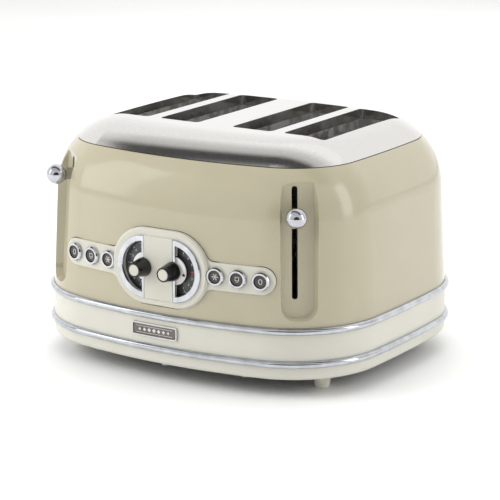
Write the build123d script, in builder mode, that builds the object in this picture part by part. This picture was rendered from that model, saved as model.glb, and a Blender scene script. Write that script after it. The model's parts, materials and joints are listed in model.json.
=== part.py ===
from build123d import *
from math import atan2, cos, degrees, radians, sin, sqrt, tan
import os

# Four-slot pop-up toaster, in millimetres.
# Front is -Y, +X is to the right seen from the front, and Z = 0 is the surface it stands on.

# --- casing -------------------------------------------------------------------------------
half_width = 165.0          # plan of the casing at the upper trim band
half_depth = 146.2
corner_radius = 86.0
front_bow = 8.0             # how far the middle of the front stands out past the corners
side_bow = 1.2
top_z = 215.2
seam_z = 196.6              # joint between the painted body and the steel cap
band_z = 60.0               # joint between the painted body and the base skirt
lower_band_z = 30.8
base_z = 16.2               # lower edge of the base skirt
lean = 2.9                  # degrees that the body walls lean in
shoulder_radius = 64.6
shell_wall = 1.2
seam_gap = 0.6
skirt_wall = 2.5
skirt_lip = 10.0            # inward lip under the skirt
base_edge_radius = 4.2
band_height = 6.4
band_proud = 3.7
trim_gap = 0.15             # between trim and the surface that it is fixed to
fit_gap = 0.3               # between pieces that pass or seat in one another

# --- bread slots and toasting chamber -----------------------------------------------------
slot_width = 41.0
slot_length = 138.0
slot_corner = 5.0
slot_middle_y = 10.0
slot_wall_gap = 12.3        # metal left between the two slots of a pair
pair_gap = 35.6             # metal left between the two pairs
slot_flange = 9.0           # depth of the rim turned down inside each slot
slot_rim_radius = 1.1
chamber_end_gap = 4.0       # from the end of a slot to the chamber's end plate
plate = 1.0                 # sheet of the chamber's end plates
chassis_top_z = 190.0
chassis_half_width = 124.0
flange_reach = 28.0         # top flange of the front plate, forward over the guide rods
chute_low_z = 184.0
chute_wall = 0.8
card_low_z = 52.0
card_high_z = 180.0
card_sheet = 0.8
ribbon_rows = 12
ribbon_width = 1.6
ribbon_sheet = 0.25
guide_wire = 1.6
guide_inset = 1.5           # guard wires stand this far inside the slot's edge
guide_pitch = 17.0
guide_low_z = 50.0
guide_high_z = 196.0

# --- lifting carriages --------------------------------------------------------------------
lever_angle = 52.0          # direction of the lever arms, from the side towards the front
lever_shift = 7.2           # the lever's plane passes this far to the front of the corner's centre
lever_rest_z = {-1: 168.0, 1: 159.0}
lever_travel_down_z = 93.0
lever_travel_up_z = 175.5
recess_set = 14.3           # floor of the recess in from the corner's arc, at recess_level_z
recess_level_z = 163.0
recess_lean = 4.2
recess_half_width = 13.6
recess_shift = 2.9          # the recess's middle is to the side of the lever's plane
recess_flare = 22.0
recess_low_z = 71.0
recess_corner = 10.0
lever_slot_width = 5.0
lever_slot_low_z = 86.3
lever_slot_high_z = 183.5
arm_thickness = 3.6
arm_height = 10.5
ball_radius = 9.1
ball_reach = 14.8           # ball's centre out from the recess floor, at recess_level_z
rack_drop = 37.0            # rack below the lever's arm
rack_bar = 3.0
rack_bar_height = 6.0
rack_rung = 2.4
rack_rung_length = 30.0
rod_radius = 2.5
rod_running_gap = 0.06
rod_forward = 18.0          # guide rod in front of the front plate
bush_radius = 6.0
bush_height = 34.0
carriage_sheet = 3.0
carriage_height = 14.0
carriage_forward = 9.0      # bracket's back face in front of the front plate
keeper_size = (16.0, 12.0, 3.0)
magnet_gap = 0.5
spring_radius = 4.0
spring_wire = 1.0
spring_turns = 18
spring_forward = 8.5        # spring's axis in front of the bracket

# --- controls -----------------------------------------------------------------------------
control_z = 103.0
dial_x = 15.15              # centre of each half-round dial
pod_radius = 34.5
pod_proud = 2.6             # pod's face in front of the body at the middle
pod_edge = 1.6
arm_half_height = 11.9
arm_proud = 1.8
junction_fillet = 9.0
bezel_outer = 28.0
bezel_inner = 22.5
bezel_bar = 2.3
bezel_proud = 1.8
bezel_edge = 0.5
bezel_seat = 0.05           # thin bed under each bezel
centre_proud = 1.6          # raised plate between the two dials
centre_wall = 1.3           # what is left of it in front of the pointer discs
centre_edge = 0.4
face_depth = 5.0            # dial face behind the pod's face
face_sheet = 1.2
disc_radius = 12.5
disc_sheet = 1.0
disc_gap = 0.8
knob_base_radius = 8.5
knob_tip_radius = 6.3
knob_length = 14.7
knob_gap = 0.6
knob_cap_radius = 5.2
knob_cap_depth = 2.0
spindle_radius = 3.0
spindle_running_gap = 0.06
button_x = (55.8, 76.2, 97.1)
button_ring_radius = 8.2
button_ring_hole = 5.9
button_ring_bevel = 1.2     # height of the sloping rim, and its angle
button_ring_slope = 35
button_ring_proud = 3.0
button_ring_seat = 0.6      # clears the lean and bow of the fascia
button_radius = 5.6
button_proud = 2.0
button_travel = 2.0
button_stem = 2.5
board_depth = 24.0          # control board behind the pod's face
board_sheet = 1.6
board_half_width = 104.0
board_half_height = 31.0
board_arm_height = 22.0     # of the board's narrow ends
switch_size = (7.0, 7.0, 3.5)
encoder_size = 14.0
encoder_depth = 9.0
window_margin = 4.0
post_radius = 2.5
post_z = 25.0               # board posts above and below the middle of the pod
post_x = 66.0               # and one between the buttons on each arm

# --- base ---------------------------------------------------------------------------------
base_sheet = 1.2
foot_x = 124.8
foot_y = 79.6
foot_top_radius = 9.5
foot_bottom_radius = 6.2
foot_bore_depth = 10.0
screw_head_radius = 3.0
screw_head = 1.6
screw_radius = 1.5
screw_gap = 0.15
screw_length = 7.0
tray_floor_z = 36.0
tray_sheet = 1.2
tray_height = 9.0
tray_pull_width = 44.0
tray_pull_sheet = 3.0
tray_side_gap = 1.5
gland_radius = 7.0
gland_flange_radius = 9.5
gland_bore = 3.75
gland_z = 45.4
badge_x = -5.6
badge_z = 46.2
badge_length = 47.6
badge_height = 12.0
badge_border = 1.2
badge_proud = 1.6
power_board_size = (96.0, 34.0, 1.6)

# --- sizes that follow --------------------------------------------------------------------
corner_x = half_width - corner_radius - side_bow
corner_y = half_depth - corner_radius - front_bow


def bow_radius(half, along, across):
    """Radius of the bowed side that passes through half and is tangent to the corner arcs."""
    reach = half - across
    return (corner_radius**2 - along**2 - reach**2) / (2 * (corner_radius - reach))


front_radius = bow_radius(half_depth, corner_x, corner_y)
side_radius = bow_radius(half_width, corner_y, corner_x)
front_half_angle = degrees(atan2(corner_x, corner_y - half_depth + front_radius))
side_half_angle = degrees(atan2(corner_y, corner_x - half_width + side_radius))
slot_x = (pair_gap / 2 + slot_width / 2, pair_gap / 2 + slot_width * 1.5 + slot_wall_gap)
card_reach = (slot_width + slot_wall_gap) / 2
pair_x = (slot_x[0] + slot_x[1]) / 2
chamber_front = slot_middle_y - slot_length / 2 - chamber_end_gap
chamber_rear = slot_middle_y + slot_length / 2 + chamber_end_gap
plate_front = chamber_front - plate
base_floor_z = base_z + skirt_wall
base_top_z = base_floor_z + base_sheet
pod_y = -(half_depth - (control_z - band_z) * tan(radians(lean)) + pod_proud)
knob_base_y = pod_y - centre_proud - knob_gap
knob_tip_y = knob_base_y - knob_length
board_y = pod_y + board_depth
rear_reach = -knob_tip_y    # the tray pulls reach as far back as the knobs reach forward
rod_y = plate_front - rod_forward
bracket_y = plate_front - carriage_forward
keeper_z = {side: lever_rest_z[side] - rack_drop - carriage_height / 2 for side in (-1, 1)}
magnet_top_z = keeper_z[1] - keeper_size[2] - (lever_rest_z[1] - lever_travel_down_z) - magnet_gap
side_name = {-1: "left", 1: "right"}
on_floor = (Align.CENTER, Align.CENTER, Align.MIN)
on_front = (Align.CENTER, Align.MAX, Align.CENTER)
on_back = (Align.CENTER, Align.MIN, Align.CENTER)


def plan_face(grow):
    """Plan of the casing: four bowed sides joined by four tangent corner arcs."""
    front_centre = half_depth - front_radius
    side_centre = half_width - side_radius
    corner_sweep = 90 - front_half_angle - side_half_angle
    with BuildSketch() as face:
        with BuildLine():
            for turn in (90, 270):
                middle = (0, front_centre * sin(radians(turn)))
                start = turn - front_half_angle
                CenterArc(middle, front_radius + grow, start, 2 * front_half_angle)
            for turn in (0, 180):
                middle = (side_centre * cos(radians(turn)), 0)
                start = turn - side_half_angle
                CenterArc(middle, side_radius + grow, start, 2 * side_half_angle)
            for quarter, (x, y) in enumerate(((1, 1), (-1, 1), (-1, -1), (1, -1))):
                lead = side_half_angle if quarter % 2 == 0 else front_half_angle
                middle = (x * corner_x, y * corner_y)
                CenterArc(middle, corner_radius + grow, 90 * quarter + lead, corner_sweep)
        make_face()
    return face.sketch


def prism(grow, low, high):
    """Upright prism of the plan, grown sideways."""
    with BuildPart() as block:
        with BuildSketch(Plane.XY.offset(low)):
            add(plan_face(grow))
        extrude(amount=high - low)
    return block.part


def ring(outer, inner, low, high):
    """Upright wall between two growths of the plan."""
    with BuildPart() as wall:
        add(prism(outer, low, high))
        add(prism(inner, low, high), mode=Mode.SUBTRACT)
    return wall.part


def body_form(inset):
    """Solid of the leaning body with its round shoulder, shrunk by inset all over."""
    with BuildPart() as form:
        with BuildSketch(Plane.XY.offset(band_z)):
            add(plan_face(-inset))
        extrude(amount=top_z - inset - band_z, taper=lean)
        rim = form.faces().sort_by(Axis.Z)[-1].edges()
        fillet(rim, shoulder_radius - inset)
    return form.part


def layer(low, high):
    """Slab wider than the toaster between two heights."""
    with BuildPart() as slab:
        with Locations((0, 0, low)):
            Box(4 * half_width, 4 * half_depth, high - low, align=on_floor)
    return slab.part


def form_wall(outer, inner, low, high):
    """Wall between two insets of the body form, between two heights."""
    with BuildPart() as wall:
        add(body_form(outer))
        add(body_form(inner), mode=Mode.SUBTRACT)
        add(layer(low, high), mode=Mode.INTERSECT)
    return wall.part


def front_y(x, z, proud):
    """Y of the body's bowed front at x and z, stood off by proud."""
    radius = front_radius - (z - band_z) * tan(radians(lean)) + proud
    return front_radius - half_depth - sqrt(radius**2 - x**2)


def save(piece, name):
    """Label one finished piece and write it."""
    piece.part.label = name
    export_step(piece.part, f"parts/{name}.step")


os.makedirs("parts", exist_ok=True)
outer_form = body_form(0)
inner_form = body_form(shell_wall)


# === levers' frame ========================================================================
def lever_point(side, reach, across, z):
    """Point reach out from the corner's centre along the lever, and across it."""
    out_x = cos(radians(lever_angle))
    out_y = -sin(radians(lever_angle))
    x = corner_x + reach * out_x - across * out_y
    y = -corner_y + reach * out_y + across * out_x
    return (side * x, y, z)


def recess_plane(side, across):
    """Plane of the recess floor, X sideways and Y up the slope."""
    tilt = radians(recess_lean)
    out = radians(lever_angle)
    origin = lever_point(side, corner_radius - recess_set, across, recess_level_z)
    normal = (side * cos(out) * cos(tilt), -sin(out) * cos(tilt), sin(tilt))
    return Plane(origin=origin, x_dir=(sin(out), side * cos(out), 0), z_dir=normal)


def recess_tool(side, wall):
    """Flared pocket that presses the recess into the corner, or its inside grown by wall."""
    low = (recess_low_z - recess_level_z) / cos(radians(recess_lean))
    high = top_z - recess_level_z + 20
    half = recess_half_width + wall
    floor = recess_plane(side, recess_shift - lever_shift).offset(-wall)
    with BuildPart() as pocket:
        with BuildSketch(floor):
            with Locations((0, (high + low - wall) / 2)):
                RectangleRounded(2 * half, high - low + wall, recess_corner)
        extrude(amount=ball_radius * 4, taper=-recess_flare)
    return pocket.part


# === body shell ===========================================================================
def fascia_face(margin, arms):
    """Outline of the control fascia seen from the front, shrunk by margin."""
    radius = pod_radius - margin
    half_arm = arm_half_height - margin
    with Locations((0, control_z)):
        SlotCenterToCenter(2 * dial_x, 2 * radius)
    if arms:
        with Locations((0, control_z)):
            SlotCenterToCenter(2 * button_x[-1], 2 * half_arm)


with BuildPart() as body_hollow:
    add(inner_form)
    for side in (-1, 1):
        add(recess_tool(side, shell_wall), mode=Mode.SUBTRACT)

with BuildPart() as body_shell:
    add(outer_form)
    for side in (-1, 1):
        add(recess_tool(side, 0), mode=Mode.SUBTRACT)
    add(body_hollow.part, mode=Mode.SUBTRACT)
    add(layer(band_z, seam_z - seam_gap / 2), mode=Mode.INTERSECT)
    for side in (-1, 1):
        mid = ((lever_slot_low_z + lever_slot_high_z) / 2 - recess_level_z) / cos(radians(recess_lean))
        with BuildSketch(recess_plane(side, -lever_shift)):
            with Locations((0, mid)):
                SlotOverall(lever_slot_high_z - lever_slot_low_z, lever_slot_width, rotation=90)
        extrude(amount=recess_set, both=True, mode=Mode.SUBTRACT)
    with BuildSketch(Plane.XZ.offset(half_depth / 2)):
        fascia_face(window_margin, True)
    extrude(amount=half_depth, mode=Mode.SUBTRACT)
save(body_shell, "body_shell")


# === steel cap and its seal ===============================================================
slot_places = [(side * x, slot_middle_y) for side in (-1, 1) for x in slot_x]
rim_low = top_z - slot_flange

with BuildPart() as cap_hollow:
    add(inner_form)
    with BuildSketch(Plane.XY.offset(rim_low)):
        with Locations(slot_places):
            RectangleRounded(
                slot_width + 2 * shell_wall, slot_length + 2 * shell_wall, slot_corner + shell_wall
            )
    extrude(amount=slot_flange, mode=Mode.SUBTRACT)

with BuildPart() as top_cap:
    add(outer_form)
    add(cap_hollow.part, mode=Mode.SUBTRACT)
    add(layer(seam_z + seam_gap / 2, top_z + 1), mode=Mode.INTERSECT)
    with BuildSketch(Plane.XY.offset(band_z)):
        with Locations(slot_places):
            RectangleRounded(slot_width, slot_length, slot_corner)
    extrude(amount=top_z, mode=Mode.SUBTRACT)
save(top_cap, "top_cap")

seal_edge = seam_gap / 2 - 0.05
with BuildPart() as seam_seal:
    add(form_wall(shell_wall + trim_gap, shell_wall + 2.0, seam_z - 4, seam_z + 4))
    add(form_wall(0.5, shell_wall + 2.0, seam_z - seal_edge, seam_z + seal_edge))
save(seam_seal, "seam_seal")

# === trim bands ===========================================================================
for name, middle in (("upper_band", band_z), ("lower_band", lower_band_z)):
    low = middle - band_height / 2
    with BuildPart() as band:
        add(prism(band_proud, low, low + band_height))
        rims = band.faces().filter_by(Axis.Z).edges()
        fillet(rims, band_height / 2 - 0.1)
        add(prism(trim_gap, low - 1, low + band_height + 1), mode=Mode.SUBTRACT)
    save(band, name)

# === base skirt ===========================================================================
tray_half = (slot_x[1] + card_reach - (slot_x[0] - card_reach)) / 2
tray_low_z = tray_floor_z
tray_high_z = tray_floor_z + tray_height
base_screw_inset = 7.5
base_screw_places = []
for x in (-1, 0, 1):
    for y in (-1, 1):
        base_screw_places.append((x * corner_x, y * (half_depth - base_screw_inset - abs(x) * front_bow)))
foot_places = [(x * foot_x, y * foot_y) for x in (-1, 1) for y in (-1, 1)]

with BuildPart() as base_skirt:
    add(prism(0, base_z, band_z))
    bottom = base_skirt.faces().sort_by(Axis.Z)[0].edges()
    fillet(bottom, base_edge_radius)
    add(prism(-skirt_wall, base_floor_z, band_z + 1), mode=Mode.SUBTRACT)
    add(prism(-skirt_wall - skirt_lip, base_z - 1, base_floor_z + 1), mode=Mode.SUBTRACT)
    with BuildSketch(Plane.XY.offset(base_z - 1)):
        with Locations(base_screw_places):
            Circle(screw_radius + screw_gap)
    extrude(amount=skirt_wall + 2, mode=Mode.SUBTRACT)
    with BuildSketch(Plane.XZ):
        with Locations([(side * pair_x, (tray_low_z + tray_high_z) / 2) for side in (-1, 1)]):
            Rectangle(2 * tray_half + 2 * fit_gap, tray_height + 2 * fit_gap)
        with Locations((0, gland_z)):
            Circle(gland_radius + trim_gap)
    extrude(amount=-half_depth - 1, mode=Mode.SUBTRACT)
save(base_skirt, "base_skirt")

# === base plate, feet and screws ==========================================================
with BuildPart() as base_plate:
    add(prism(-skirt_wall - fit_gap, base_floor_z, base_top_z))
    with BuildSketch(Plane.XY.offset(base_floor_z - 1)):
        with Locations(base_screw_places + foot_places):
            Circle(screw_radius + screw_gap)
        with Locations([(side * pair_x, slot_middle_y) for side in (-1, 1)]):
            with GridLocations(18, 12, 4, 9):
                SlotOverall(13, 4)
    extrude(amount=base_sheet + 2, mode=Mode.SUBTRACT)
save(base_plate, "base_plate")

with BuildPart() as feet:
    with Locations([(x, y, 0) for x, y in foot_places]):
        Cone(foot_bottom_radius, foot_top_radius, base_floor_z, align=on_floor)
    fillet(feet.faces().group_by(Axis.Z)[0].edges(), 1.0)
    with BuildSketch():
        with Locations(foot_places):
            Circle(screw_head_radius + fit_gap)
    extrude(amount=foot_bore_depth, mode=Mode.SUBTRACT)
    with BuildSketch():
        with Locations(foot_places):
            Circle(screw_radius + screw_gap)
    extrude(amount=base_floor_z, mode=Mode.SUBTRACT)
save(feet, "feet")

with BuildPart() as base_screws:
    for places, head_z in ((foot_places, foot_bore_depth), (base_screw_places, base_z)):
        with BuildSketch(Plane.XY.offset(head_z - screw_head)):
            with Locations(places):
                Circle(screw_head_radius)
        extrude(amount=screw_head)
    with BuildSketch(Plane.XY.offset(foot_bore_depth)):
        with Locations(foot_places):
            Circle(screw_radius)
    extrude(amount=base_floor_z - foot_bore_depth + 5)
    with BuildSketch(Plane.XY.offset(base_z)):
        with Locations(base_screw_places):
            Circle(screw_radius)
    extrude(amount=screw_length)
save(base_screws, "base_screws")

# === cord gland ===========================================================================
gland_inner_y = half_depth - skirt_wall - 6
gland_outer_y = half_depth + 6
with BuildPart() as cord_gland:
    with BuildSketch(Plane.XZ.offset(-gland_inner_y)):
        with Locations((0, gland_z)):
            Circle(gland_radius)
    extrude(amount=gland_inner_y - gland_outer_y)
    with BuildSketch(Plane.XZ.offset(-half_depth - fit_gap)):
        with Locations((0, gland_z)):
            Circle(gland_flange_radius)
    extrude(amount=-3)
    with BuildSketch(Plane.XZ.offset(-gland_inner_y)):
        with Locations((0, gland_z)):
            Circle(gland_bore)
    extrude(amount=gland_inner_y - gland_outer_y, mode=Mode.SUBTRACT)
save(cord_gland, "cord_gland")

# === crumb trays and their runners ========================================================
tray_back_y = chamber_rear + 20
for side in (-1, 1):
    with BuildPart() as crumb_tray:
        with BuildSketch(Plane.XY.offset(tray_low_z)):
            with Locations((side * pair_x, (chamber_front + 2 + half_depth) / 2)):
                Rectangle(2 * tray_half - 2 * tray_side_gap, half_depth - chamber_front - 2)
        extrude(amount=tray_height - 2)
        add(prism(-skirt_wall - fit_gap, tray_low_z - 1, tray_high_z + 1), mode=Mode.INTERSECT)
        with BuildSketch(Plane.XY.offset(tray_low_z + tray_sheet)):
            with Locations((side * pair_x, (chamber_front + 2 + tray_back_y) / 2)):
                Rectangle(
                    2 * tray_half - 2 * tray_side_gap - 2 * tray_sheet,
                    tray_back_y - chamber_front - 2 - 2 * tray_sheet,
                )
        extrude(amount=tray_height, mode=Mode.SUBTRACT)
        with BuildSketch(Plane.XZ.offset(-rear_reach)):
            with Locations((side * pair_x, (tray_low_z + tray_high_z) / 2)):
                Rectangle(tray_pull_width, tray_pull_sheet)
        extrude(amount=rear_reach - tray_back_y)
    with BuildPart() as tray_front:
        add(ring(0, -skirt_wall - 2, tray_low_z, tray_high_z))
        with Locations((side * pair_x, half_depth, (tray_low_z + tray_high_z) / 2)):
            Box(2 * tray_half, half_depth, tray_height, mode=Mode.INTERSECT)
    with BuildPart() as whole_tray:
        add(crumb_tray.part)
        add(tray_front.part)
    save(whole_tray, f"crumb_tray_{side_name[side]}")

with BuildPart() as tray_runners:
    for side in (-1, 1):
        for edge in (-1, 1):
            x = side * pair_x + edge * (tray_half - 4)
            with Locations((x, (chamber_front + chamber_rear) / 2, tray_low_z - fit_gap)):
                Box(8, chamber_rear - chamber_front, 1.2, align=(Align.CENTER, Align.CENTER, Align.MAX))
save(tray_runners, "tray_runners")

# === toasting chamber =====================================================================
with BuildPart() as inner_space:
    add(body_form(shell_wall + 2 * fit_gap))
    add(prism(-skirt_wall - 4 * fit_gap, base_top_z, band_z))

rack_low_z = lever_travel_down_z - rack_drop - rack_bar_height
rack_high_z = lever_travel_up_z - rack_drop + rack_bar_height
tray_window = (2 * tray_half + 2 * fit_gap, tray_height + 4 * fit_gap)

for name, back_y in (("front_plate", chamber_front), ("rear_plate", chamber_rear + plate)):
    with BuildPart() as end_plate:
        with Locations((0, back_y, base_top_z)):
            plate_height = chassis_top_z - base_top_z
            Box(2 * chassis_half_width, plate, plate_height, align=(Align.CENTER, Align.MAX, Align.MIN))
        if name == "front_plate":
            with Locations((0, chamber_front, chassis_top_z)):
                Box(2 * pair_x + 70, flange_reach, 1.5, align=(Align.CENTER, Align.MAX, Align.MAX))
        add(inner_space.part, mode=Mode.INTERSECT)
        with BuildSketch(Plane.XZ.offset(-back_y)):
            with Locations([(side * x, (rack_low_z + rack_high_z) / 2) for side in (-1, 1) for x in slot_x]):
                SlotOverall(rack_high_z - rack_low_z + 10, rack_bar + 3, rotation=90)
            if name == "rear_plate":
                with Locations([(side * pair_x, (tray_low_z + tray_high_z) / 2) for side in (-1, 1)]):
                    Rectangle(*tray_window)
        extrude(amount=plate, mode=Mode.SUBTRACT)
    save(end_plate, name)

with BuildPart() as side_shields:
    for side in (-1, 1):
        with Locations((side * (chassis_half_width - 2), slot_middle_y, base_top_z)):
            Box(
                plate,
                chamber_rear - chamber_front,
                chute_low_z - base_top_z - 4,
                align=on_floor,
            )
save(side_shields, "side_shields")

with BuildPart() as slot_chutes:
    chute_top = rim_low - fit_gap
    outer_size = (slot_width + 2 * chute_wall, slot_length + 2 * chute_wall)
    for side in (-1, 1):
        with Locations((side * pair_x, slot_middle_y, chute_low_z)):
            Box(
                2 * card_reach + slot_width + slot_wall_gap,
                chamber_rear - chamber_front,
                plate,
                align=on_floor,
            )
    with BuildSketch(Plane.XY.offset(chute_low_z)):
        with Locations(slot_places):
            RectangleRounded(*outer_size, slot_corner)
    extrude(amount=chute_top - chute_low_z)
    with BuildSketch(Plane.XY.offset(chute_low_z - 1)):
        with Locations(slot_places):
            RectangleRounded(slot_width, slot_length, slot_corner - chute_wall)
    extrude(amount=chute_top, mode=Mode.SUBTRACT)
save(slot_chutes, "slot_chutes")

card_places = []
for side in (-1, 1):
    for x in (slot_x[0] - card_reach, slot_x[0] + card_reach, slot_x[1] + card_reach):
        card_places.append((side * x, (chamber_front + chamber_rear) / 2))
card_length = chamber_rear - chamber_front
with BuildPart() as heater_cards:
    with Locations([(x, y, card_low_z) for x, y in card_places]):
        Box(card_sheet, card_length, card_high_z - card_low_z, align=on_floor)
save(heater_cards, "heater_cards")

ribbon_pitch = (card_high_z - card_low_z) / (ribbon_rows + 1)
ribbon_reach = (card_sheet + ribbon_sheet) / 2
ribbon_places = [
    (x + face * ribbon_reach, y, card_low_z + row * ribbon_pitch)
    for x, y in card_places
    for face in (-1, 1)
    for row in range(1, ribbon_rows + 1)
]
with BuildPart() as heater_ribbons:
    with Locations(ribbon_places):
        Box(ribbon_sheet, card_length - 14, ribbon_width)
save(heater_ribbons, "heater_ribbons")

guide_x = slot_width / 2 - guide_inset
guide_count = int(slot_length // guide_pitch)
guide_places = [(x + face * guide_x, y) for x, y in slot_places for face in (-1, 1)]
upright_places = [
    (x, y + (row - (guide_count - 1) / 2) * guide_pitch, guide_low_z)
    for x, y in guide_places
    for row in range(guide_count)
]
rail_places = [
    Location((x, y, z), (90, 0, 0)) for x, y in guide_places for z in (guide_low_z + 4, chute_low_z - 3)
]
with BuildPart() as bread_guides:
    with Locations(upright_places):
        upright_height = guide_high_z - guide_low_z
        Cylinder(guide_wire / 2, upright_height, align=on_floor)
    with Locations(rail_places):
        Cylinder(guide_wire / 2, card_length)
save(bread_guides, "bread_guides")

# === guide rods and magnets ===============================================================
with BuildPart() as guide_rods:
    with Locations([(side * pair_x, rod_y, base_top_z) for side in (-1, 1)]):
        rod_height = chassis_top_z - 1.5 - base_top_z
        Cylinder(rod_radius, rod_height, align=on_floor)
save(guide_rods, "guide_rods")

keeper_x = pair_x + 22
magnet_y = plate_front - carriage_forward - carriage_sheet / 2
with BuildPart() as magnets:
    for side in (-1, 1):
        with Locations((side * keeper_x, plate_front, base_top_z)):
            Box(20, 16, magnet_top_z - base_top_z - 2, align=(Align.CENTER, Align.MAX, Align.MIN))
        with Locations((side * keeper_x, magnet_y, base_top_z)):
            Box(8, 8, magnet_top_z - base_top_z, align=on_floor)
save(magnets, "latch_magnets")

# === lifting carriages ====================================================================
for side in (-1, 1):
    hand = side_name[side]
    lever_z = lever_rest_z[side]
    rack_z = lever_z - rack_drop
    arm_start = lever_point(side, 0, -lever_shift, lever_z)
    arm_reach = corner_radius - recess_set + ball_reach
    arm_inner = (lever_point(1, 0, -lever_shift, 0)[1] - bracket_y) / sin(radians(lever_angle))
    arm_begin = arm_inner + (carriage_sheet + arm_thickness / 2) / sin(radians(lever_angle))
    arm_plane = Plane(
        origin=arm_start,
        x_dir=(side * cos(radians(lever_angle)), -sin(radians(lever_angle)), 0),
        z_dir=(0, 0, 1),
    )
    bracket_end_x = lever_point(1, arm_inner, -lever_shift, 0)[0] + 6
    bracket_start_x = slot_x[0] - 8
    spring_x = side * (slot_x[0] + 4)

    with BuildPart() as carriage:
        bracket_length = bracket_end_x - bracket_start_x
        bracket_middle = side * (bracket_end_x + bracket_start_x) / 2
        with Locations((bracket_middle, bracket_y, rack_z)):
            Box(bracket_length, carriage_sheet, carriage_height, align=on_front)
        with Locations((side * (bracket_end_x - 6), bracket_y, rack_z - carriage_height / 2)):
            Box(
                12,
                carriage_sheet,
                lever_z - rack_z + (carriage_height + arm_height) / 2,
                align=(Align.CENTER, Align.MAX, Align.MIN),
            )
        with Locations((side * pair_x, rod_y, rack_z - carriage_height / 2)):
            Cylinder(bush_radius, bush_height, align=on_floor)
        with Locations((side * pair_x, (rod_y + bracket_y - carriage_sheet / 2) / 2, rack_z)):
            Box(2 * bush_radius - 2, bracket_y - carriage_sheet / 2 - rod_y, carriage_height)
        with Locations((spring_x, bracket_y - carriage_sheet, rack_z + carriage_height / 2)):
            Box(8, spring_forward + spring_radius + 1, 3, align=(Align.CENTER, Align.MAX, Align.MAX))
        with Locations((side * pair_x, rod_y, rack_z)):
            Cylinder(rod_radius + rod_running_gap, 4 * bush_height, mode=Mode.SUBTRACT)
    save(carriage, f"carriage_{hand}")

    with BuildPart() as lever_arm:
        with BuildSketch(arm_plane.offset(-arm_height / 2)):
            with Locations(((arm_begin + arm_reach) / 2, 0)):
                Rectangle(arm_reach - arm_begin, arm_thickness)
        extrude(amount=arm_height)
        with Locations((side * (bracket_end_x - 6), bracket_y - carriage_sheet, lever_z)):
            Box(12, 2.5, arm_height, align=(Align.CENTER, Align.MAX, Align.CENTER))
    save(lever_arm, f"lever_arm_{hand}")

    with BuildPart() as lever_knob:
        with Locations(lever_point(side, arm_reach, -lever_shift, lever_z)):
            Sphere(ball_radius)
        add(lever_arm.part, mode=Mode.SUBTRACT)
    save(lever_knob, f"lever_knob_{hand}")

    with BuildPart() as bread_rack:
        for x in slot_x:
            rack_length = chamber_rear + 8 - bracket_y
            with Locations((side * x, bracket_y, rack_z)):
                Box(rack_bar, rack_length, rack_bar_height, align=(Align.CENTER, Align.MIN, Align.CENTER))
            with Locations((side * x, slot_middle_y, rack_z + rack_bar_height / 2)):
                with GridLocations(1, guide_pitch, 1, guide_count - 1):
                    Cylinder(rack_rung / 2, rack_rung_length, rotation=(0, 90, 0))
    save(bread_rack, f"bread_rack_{hand}")

    with BuildPart() as keeper:
        with Locations((side * keeper_x, magnet_y, keeper_z[side])):
            Box(*keeper_size, align=(Align.CENTER, Align.CENTER, Align.MAX))
    save(keeper, f"keeper_{hand}")

    spring_low = rack_z + carriage_height / 2
    spring_high = chassis_top_z - 1.5
    spring_y = bracket_y - carriage_sheet - spring_forward
    spring_pitch = (spring_high - spring_low - spring_wire) / spring_turns
    with BuildPart() as lift_spring:
        with BuildLine(Plane.XY.offset(spring_low + spring_wire / 2)) as coil:
            Helix(spring_pitch, spring_pitch * spring_turns, spring_radius)
        with BuildSketch(Plane(origin=coil.line @ 0, z_dir=coil.line % 0)):
            Circle(spring_wire / 2)
        sweep(is_frenet=True)
    lift_spring.part.position = (spring_x, spring_y, 0)
    save(lift_spring, f"lift_spring_{hand}")

# === control fascia =======================================================================
pod_front = Plane.XZ.offset(-pod_y)
seat_y = pod_y - centre_proud + centre_wall
disc_y = seat_y + disc_gap


def half_dial(radius, start):
    """Two half discs about the dial centres, each cut off at x = start."""
    with BuildSketch() as halves:
        with Locations((-dial_x, control_z), (dial_x, control_z)):
            Circle(radius)
        with Locations((0, control_z)):
            Rectangle(2 * start, 4 * radius, mode=Mode.SUBTRACT)
    return halves.sketch


def button_plane(side, x):
    """Plane on the face of the fascia's arm at one button, facing out."""
    tilt = x / front_radius
    origin = (side * x, front_y(x, control_z, arm_proud), control_z)
    across = (cos(tilt), side * sin(tilt), 0)
    outward = (side * sin(tilt), -cos(tilt), 0)
    return Plane(origin=origin, x_dir=across, z_dir=outward)


button_places = [(side, x) for side in (-1, 1) for x in button_x]
sleeve_radius = button_ring_radius - 1.2

with BuildPart() as fascia_outline:
    with BuildSketch(Plane.XZ.offset(half_depth / 2)):
        fascia_face(0, True)
    extrude(amount=-pod_y - half_depth / 2)
    steps = fascia_outline.edges().filter_by(Axis.Y)
    fillet(steps.filter_by_position(Axis.X, -2 * pod_radius, 2 * pod_radius), junction_fillet)

with BuildPart() as pod_block:
    with BuildSketch(pod_front.offset(-pod_edge)):
        fascia_face(0, False)
    extrude(amount=pod_edge, taper=45)
    with BuildSketch(pod_front.offset(-pod_edge)):
        fascia_face(0, False)
    extrude(amount=-half_depth / 2)

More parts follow.
